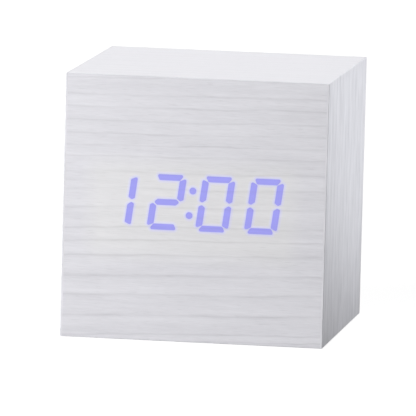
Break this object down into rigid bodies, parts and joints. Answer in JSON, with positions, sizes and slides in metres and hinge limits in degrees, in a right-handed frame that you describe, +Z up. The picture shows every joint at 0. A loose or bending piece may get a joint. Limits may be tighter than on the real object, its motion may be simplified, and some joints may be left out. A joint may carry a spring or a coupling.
{
  "type": "desk alarm clock",
  "caption": "Cube desk alarm clock in white wood veneer: glowing segment display through the front, sprung rear buttons, power jack and hinged battery door.",
  "frame": {"origin": "middle of the base, on the surface that the clock stands on", "axes": "+Z up, the display looks along -Y, +X to the right as one reads the display"},
  "size_m": [0.068, 0.068, 0.068],
  "materials": {
    "white_veneer": "white-washed, matt, fine straight grain",
    "fibreboard": "raw",
    "pale_wood": "raw",
    "black_plastic": "fine moulded texture",
    "switch_plunger": "smooth",
    "white_plastic": "smooth",
    "lit_lens": "lit, diffuse blue-violet",
    "clear_lens": "milky",
    "frosted_film": "frosted",
    "led_phosphor": "clear",
    "circuit_board": "solder mask",
    "black_epoxy": "moulded",
    "bright_metal": "nickel plated",
    "aluminium_can": "drawn",
    "zinc_steel": "zinc plated",
    "cell_wrap": "plain shrink wrap",
    "red_wire": "PVC",
    "black_wire": "PVC",
    "grey_ribbon": "PVC"
  },
  "bodies": {
    "case": {"back_plate": "black_plastic", "back_plate_screws": "zinc_steel", "battery_tray": "black_plastic", "board_screws": "zinc_steel", "board_spacers": "white_plastic", "bottom_board": "fibreboard", "bottom_veneer": "white_veneer", "clock_chip": "black_epoxy", "control_board": "circuit_board", "control_screws": "zinc_steel", "control_socket": "white_plastic", "corner_blocks": "pale_wood", "diffuser_sheet": "frosted_film", "display_frame": "white_plastic", "display_ribbon": "grey_ribbon", "front_board": "fibreboard", "front_veneer": "white_veneer", "left_board": "fibreboard", "left_link": "bright_metal", "left_veneer": "white_veneer", "lit_segments": "lit_lens", "lower_cell": "cell_wrap", "lower_spring": "zinc_steel", "main_board": "circuit_board", "main_socket": "white_plastic", "middle_cell": "cell_wrap", "middle_spring": "zinc_steel", "negative_contact": "bright_metal", "negative_lead": "black_wire", "positive_contact": "bright_metal", "positive_lead": "red_wire", "power_jack": "black_plastic", "power_pin": "bright_metal", "quartz_crystal": "bright_metal", "rear_edging": "white_veneer", "right_board": "fibreboard", "right_link": "bright_metal", "right_veneer": "white_veneer", "segment_leds": "led_phosphor", "smoothing_capacitor": "aluminium_can", "sounder": "black_plastic", "switch_housings": "black_plastic", "top_board": "fibreboard", "top_veneer": "white_veneer", "unlit_segments": "clear_lens", "upper_cell": "cell_wrap", "upper_spring": "zinc_steel"},
    "set_button": {"set_button": "black_plastic", "set_plunger": "switch_plunger"},
    "up_button": {"up_button": "black_plastic", "up_plunger": "switch_plunger"},
    "down_button": {"down_button": "black_plastic", "down_plunger": "switch_plunger"},
    "battery_door": {"battery_door": "black_plastic"}
  },
  "joints": [
    {"name": "set_press", "type": "slide", "parent": "case", "child": "set_button", "axis": [0, -1, 0], "range_m": [0, 0.0005], "stiffness_N_per_m": 2000},
    {"name": "up_press", "type": "slide", "parent": "case", "child": "up_button", "axis": [0, -1, 0], "range_m": [0, 0.0005], "stiffness_N_per_m": 2000},
    {"name": "down_press", "type": "slide", "parent": "case", "child": "down_button", "axis": [0, -1, 0], "range_m": [0, 0.0005], "stiffness_N_per_m": 2000},
    {"name": "door_swing", "type": "hinge", "parent": "case", "child": "battery_door", "pos_m": [0, 0.03155, 0.04655], "axis": [1, 0, 0], "range_deg": [0, 90]}
  ]
}
